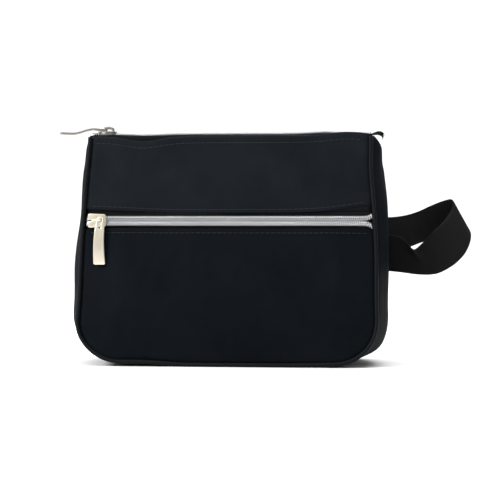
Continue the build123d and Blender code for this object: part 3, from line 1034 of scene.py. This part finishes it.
tail = {
    "width": 0.0078, "twist": 0.55, "paleRows": 6,
    "line": (
        (-0.0030, 0.1594), (-0.0004, 0.1602), (0.0026, 0.1609), (0.0050, 0.1612),
        (0.0072, 0.1605), (0.0083, 0.1592), (0.0082, 0.1578),
    ),
}
rows = []
line = curve([Vector((mouthHalf + x, 0, z)) for x, z in tail["line"]], 5)
for i, point in enumerate(line):
    share = i / (len(line) - 1)
    half = tail["width"] / 2 * (1 - 0.2 * share)
    turn = tail["twist"] * smooth(share * 1.6)
    row = []
    for t in (-1, -0.6, -0.2, 0.2, 0.6, 1):
        row.append(point + Vector((-0.0006 * t * share, t * half * cos(turn), -t * half * sin(turn) * 0.6)))
    rows.append(row)
heap = newHeap()
addSheet(heap, rows[:-tail["paleRows"]])
addSheet(heap, rows[-tail["paleRows"] - 1:], 1)
piece = makePiece("mouthTapeTail", heap, [tapeCloth, coilThread], zips["tapeThick"])
place(piece, "bag", "zip_tape", "mouth_tape_tail")

# sliders and pullers: plates cut to an outline, with rounded edges


def arc(x, y, radius, start, end, steps=8):
    turns = [start + (end - start) * i / steps for i in range(steps + 1)]
    return [(x + radius * cos(turn), y + radius * sin(turn)) for turn in turns]


def addPlate(heap, rings, thick, edge, lay, cuts=()):
    # the first ring is the outline and the rest are holes; lay puts a point of the flat plate in its place
    shape = bpy.data.curves.new("outline", "CURVE")
    shape.dimensions = "2D"
    shape.fill_mode = "BOTH"
    shape.extrude = thick / 2 - edge
    shape.bevel_depth = edge
    shape.bevel_resolution = 2
    shape.offset = -edge
    for ring in rings:
        spline = shape.splines.new("POLY")
        spline.points.add(len(ring) - 1)
        for spot, (x, y) in zip(spline.points, ring):
            spot.co = (x, y, 0, 1)
        spline.use_cyclic_u = True
    drawn = bpy.data.objects.new("outline", shape)
    scene.collection.objects.link(drawn)
    bpy.context.view_layer.update()
    mesh = bpy.data.meshes.new_from_object(drawn.evaluated_get(bpy.context.evaluated_depsgraph_get()))
    bpy.data.objects.remove(drawn)
    worked = bmesh.new()
    worked.from_mesh(mesh)
    bmesh.ops.remove_doubles(worked, verts=worked.verts, dist=0.000002)
    for cut in cuts:
        everything = worked.verts[:] + worked.edges[:] + worked.faces[:]
        bmesh.ops.bisect_plane(worked, geom=everything, plane_co=(cut, 0, 0), plane_no=(1, 0, 0))
    bmesh.ops.recalc_face_normals(worked, faces=worked.faces)
    worked.verts.index_update()
    first = len(heap["points"])
    heap["points"] += [lay(v.co.x, v.co.y, v.co.z) for v in worked.verts]
    for face in worked.faces:
        heap["faces"].append(tuple(first + v.index for v in face.verts))
        heap["corners"] += [(v.co.x, v.co.y) for v in face.verts]
        heap["finish"].append(0)
    worked.free()
    bpy.data.meshes.remove(mesh)


slider = {
    "length": 0.0126, "wide": 0.0049, "narrow": 0.0044, "plate": 0.0010, "edge": 0.00034, "corner": 0.0015,
    "notchWide": 0.0008, "notchDeep": 0.0050, "play": 0.00025, "rail": 0.00095,
    "bridge": 0.0028, "bridgeRise": 0.0017, "post": 0.0006, "postBack": 0.0038, "postFront": 0.0008,
    "sink": 0.0002,                      # how far the rails and the post go into the plates
}
coilTop = tapeUp + zips["coilHeight"]
plateLow = coilTop + slider["play"]
pullerLevel = plateLow + slider["plate"] + 0.00085


def sliderOutline(notch):
    half, wide, narrow, corner = slider["length"] / 2, slider["wide"], slider["narrow"], slider["corner"]
    ring = arc(half - corner, narrow - corner, corner, 0, pi / 2)
    ring += arc(corner - half, wide - corner, corner, pi / 2, pi)
    if notch:
        deep = slider["notchDeep"] - half
        ring += [(-half, slider["notchWide"]), (deep, 0.0003), (deep, -0.0003), (-half, -slider["notchWide"])]
    ring += arc(corner - half, corner - wide, corner, pi, 3 * pi / 2)
    return ring + arc(half - corner, corner - narrow, corner, 3 * pi / 2, 2 * pi)


def makeSlider(name, zipName, node, finish, reach, bridgeThick):
    low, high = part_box(node)
    middle = (low.x + high.x) / 2
    heap = newHeap()

    def layAt(level):
        return lambda x, y, z: zipPoint(zipName, middle + x, y, level + z)

    thick, edge = slider["plate"], slider["edge"]
    addPlate(heap, [sliderOutline(True)], thick, edge, layAt(plateLow + thick / 2))
    addPlate(heap, [sliderOutline(False)], thick, edge, layAt(-slider["play"] - thick / 2))
    railLow, railHigh = tapeUp + slider["play"], plateLow + 0.0003
    half, inner = slider["length"] / 2 - 0.0012, slider["wide"] - slider["rail"]
    for way in (-1, 1):
        corners = [(-half, way * inner), (half, way * (inner - 0.0005))]
        corners += [(half, way * (slider["narrow"] - 0.0001)), (-half, way * (slider["wide"] - 0.0001))]
        addPlate(heap, [corners[::way]], railHigh - railLow, 0.0002, layAt((railLow + railHigh) / 2))
    postLow, postHigh = -slider["play"] - slider["sink"], plateLow + slider["sink"]
    back, front, wide = -slider["postBack"], -slider["postFront"], slider["post"]
    post = [(back, -wide), (front, -wide * 0.6), (front, wide * 0.6), (back, wide)]
    addPlate(heap, [post], postHigh - postLow, 0.0002, layAt((postLow + postHigh) / 2))
    bend, half = (reach - slider["bridge"]) / 2, (reach + slider["bridge"]) / 2
    arch = [(bend - half, plateLow + 0.0005)]
    for i in range(21):
        turn = pi * i / 20
        arch.append((bend - half * cos(turn), pullerLevel + slider["bridgeRise"] * sin(turn) ** 0.6))
    arch.append((bend + half, plateLow + 0.0005))
    addTube(heap, [zipPoint(zipName, middle + x, 0, level) for x, level in arch], bridgeThick / 2, 12)
    piece = makePiece(name, heap, [finish])
    return place(piece, node, "nickel", node)


puller = {
    "length": 0.0310, "eyeOut": 0.0026, "eye": 0.0013, "rootHalf": 0.0033, "tipHalf": 0.0041, "thick": 0.0017,
    "edge": 0.0004, "corner": 0.0012, "hole": 0.0008, "holePlace": 0.0052, "waist": 0.0062,
}


def makePuller(name, node, finish, lay):
    p = puller
    ring = arc(0, 0, p["eyeOut"], pi * 0.62, pi * 1.38, 14)      # the ring end, round the eye
    ring += [(p["waist"], -p["rootHalf"])]
    ring += arc(p["length"] - p["corner"], p["corner"] - p["tipHalf"], p["corner"], 3 * pi / 2, 2 * pi, 5)
    ring += arc(p["length"] - p["corner"], p["tipHalf"] - p["corner"], p["corner"], 0, pi / 2, 5)
    ring += [(p["waist"], p["rootHalf"])]
    holes = [arc(0, 0, p["eye"], 2 * pi, 2 * pi / 20, 19)]
    holes += [arc(p["holePlace"], 0, p["hole"], 2 * pi, 2 * pi / 16, 15)]
    heap = newHeap()
    addPlate(heap, [ring] + holes, p["thick"], p["edge"], lay, spread(0.0066, 0.0295, 0.0012))
    return place(makePiece(name, heap, [finish]), node, "nickel", node)


makeSlider("mouthSlider", "mouth", "mouth_slider", paleNickel, 0.0038, 0.0021)
makeSlider("pocketSlider", "pocket", "pocket_slider", champagneNickel, slider["bridge"], 0.0018)
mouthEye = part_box("mouth_puller")[1].x - 0.0023
pocketEye = sum(corner.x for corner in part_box("pocket_slider")) / 2 + slider["bridge"]
pullerShape = {
    "bow": 0.0010, "swing": 0.0007,                          # the pocket's puller
    "hump": 0.0008, "tipUp": 0.0004, "droop": 0.0031, "tilt": 0.10,      # the mouth's
}


def layPocketPuller(x, y, z):
    t = x / puller["length"]
    sideways = -pullerShape["swing"] * sin(pi * t) if t > 0 else 0
    bow = pullerShape["bow"] * max(sin(pi * t), 0)
    return zipPoint("pocket", pocketEye + y + sideways, -x, pullerLevel + z + bow)


def layMouthPuller(x, y, z):
    rise = pullerShape["hump"] * smooth((x - 0.001) / 0.006)
    rise += pullerShape["tipUp"] * smooth((x - 0.024) / 0.007)
    drop = pullerShape["droop"] * smooth((x - 0.0075) / 0.0145)
    tilt = pullerShape["tilt"] * y * smooth(x / 0.012)
    return zipPoint("mouth", mouthEye - x, y, pullerLevel + z - drop + rise + tilt)


makePuller("pocketPuller", "pocket_puller", champagneNickel, layPocketPuller)
makePuller("mouthPuller", "mouth_puller", paleNickel, layMouthPuller)
print("sliders and pullers made")

# wrist strap: a loop of webbing that turns over on itself; each station is its upper and lower edge

strap = {
    "stations": (
        ((0.1005, 0.0218, 0.0902), (0.1015, 0.0230, 0.0645)),
        ((0.1171, 0.0190, 0.0895), (0.1186, 0.0175, 0.0632)),
        ((0.1246, 0.0165, 0.0836), (0.1324, 0.0142, 0.0616)),
        ((0.1288, 0.0160, 0.0796), (0.1444, 0.0126, 0.0622)),
        ((0.1359, 0.0150, 0.0856), (0.1546, 0.0118, 0.0672)),
        ((0.1426, 0.0155, 0.0926), (0.1620, 0.0128, 0.0734)),
        ((0.1502, 0.0190, 0.1000), (0.1666, 0.0145, 0.0800)),
        ((0.1556, 0.0255, 0.1082), (0.1692, 0.0180, 0.0878)),
        ((0.1564, 0.0305, 0.1152), (0.1680, 0.0240, 0.0925)),
        ((0.1508, 0.0340, 0.1146), (0.1616, 0.0320, 0.0920)),
        ((0.1420, 0.0350, 0.1112), (0.1502, 0.0365, 0.0878)),
        ((0.1308, 0.0325, 0.1062), (0.1358, 0.0378, 0.0844)),
        ((0.1186, 0.0290, 0.1032), (0.1228, 0.0340, 0.0798)),
        ((0.1000, 0.0220, 0.1020), (0.1010, 0.0250, 0.0768)),
    ),
    "thick": 0.0012, "steps": 5, "across": 10, "crease": 0.0014, "ripple": 0.0004,
    "anchorThick": 0.0022, "anchorIn": 0.0024,
}
uppers = curve([Vector(top) for top, bottom in strap["stations"]], strap["steps"])
lowers = curve([Vector(bottom) for top, bottom in strap["stations"]], strap["steps"])
rows = []
for i, (top, bottom) in enumerate(zip(uppers, lowers)):
    along = i / (len(uppers) - 1)
    row = []
    for k in range(strap["across"] + 1):
        t = k / strap["across"]
        point = top.lerp(bottom, t)
        fold = hump(along, 0.19 + 0.05 * t, 0.035) * (1 - t) * sin(pi * min(t * 1.5 + 0.15, 1))
        point.y -= strap["crease"] * 2.2 * fold
        point.y += strap["ripple"] * sin(pi * t) * noise.noise(Vector((along * 9, t, 2)))
        row.append(point)
    rows.append(row)
heap = newHeap()
addSheet(heap, rows)
piece = makePiece("wristStrap", heap, [webbing], strap["thick"], 1)
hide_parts("wrist_strap")
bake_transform(piece)

anchorLow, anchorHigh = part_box("strap_anchor")
rows = []
for up in spread(anchorLow.z, anchorHigh.z, 0.003):
    x = halfWidth(up / cos(lean)) - strap["anchorIn"]
    depth = footDepth - up * tan(lean)
    rows.append([Vector((x, depth - back, up)) for back in (0.0065, 0.010, 0.014, 0.018)])
heap = newHeap()
addSheet(heap, rows)
piece = makePiece("strapAnchor", heap, [webbing], strap["anchorThick"])
place(piece, "bag", "webbing", "strap_anchor")
print("strap made")

# stitches, each a short thread that dips into the cloth at both ends

stitch = {"length": 0.0029, "gap": 0.0008, "radius": 0.00021, "arch": 0.00016, "sink": 0.00006}
sewnRows = {
    "frontHemStitches": ("frontUpperPanel", slant - seamShape["hemLine"]),
    "backHemStitches": ("backPanel", slant - seamShape["hemLine"]),
    "upperFoldStitches": ("frontUpperPanel", slitTop + seamShape["foldLine"]),
    "pocketEdgeStitches": ("frontPocketPanel", slitBottom - seamShape["pocketLine"]),
}
surfaces = bpy.context.evaluated_depsgraph_get()
for name, (panelName, up) in sewnRows.items():
    cloth = BVHTree.FromObject(clothTrees[panelName], surfaces)
    panel = panels[panelName]
    inward = facePoint(panel["side"], 0, 0, -1) - facePoint(panel["side"], 0, 0, 0)
    heap = newHeap()
    reach = edgeX(up, bag["seamInset"]) - 0.004
    x = -reach
    while x + stitch["length"] < reach:
        line = []
        for i in range(6):
            t = i / 5
            across = x + stitch["length"] * t
            start = facePoint(panel["side"], across, up + shiftUp(panel, across, up), 0.02)
            hit = cloth.ray_cast(start, inward)[0]
            if hit is not None:
                line.append(hit - inward * (stitch["arch"] * sin(pi * t) - stitch["sink"]))
        if len(line) == 6:
            addTube(heap, line, [stitch["radius"] * k for k in (0.5, 0.9, 1, 1, 0.9, 0.5)], 6)
        x += stitch["length"] + stitch["gap"]
    place(makePiece(name, heap, [thread]), "bag", "shell")
print("stitches made")

# floor

floorSize = 6.0
heap = newHeap()
addSheet(heap, [[Vector((x, y, 0)) for x in (-floorSize, 0, floorSize)] for y in (-floorSize, 0, floorSize)])
floorPaint = newFinish("floorPaint", (0.93, 0.93, 0.93), 0.9, specular=0.1)[0]
floor = makePiece("floor", heap, [floorPaint])
floor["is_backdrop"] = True

low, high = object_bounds()
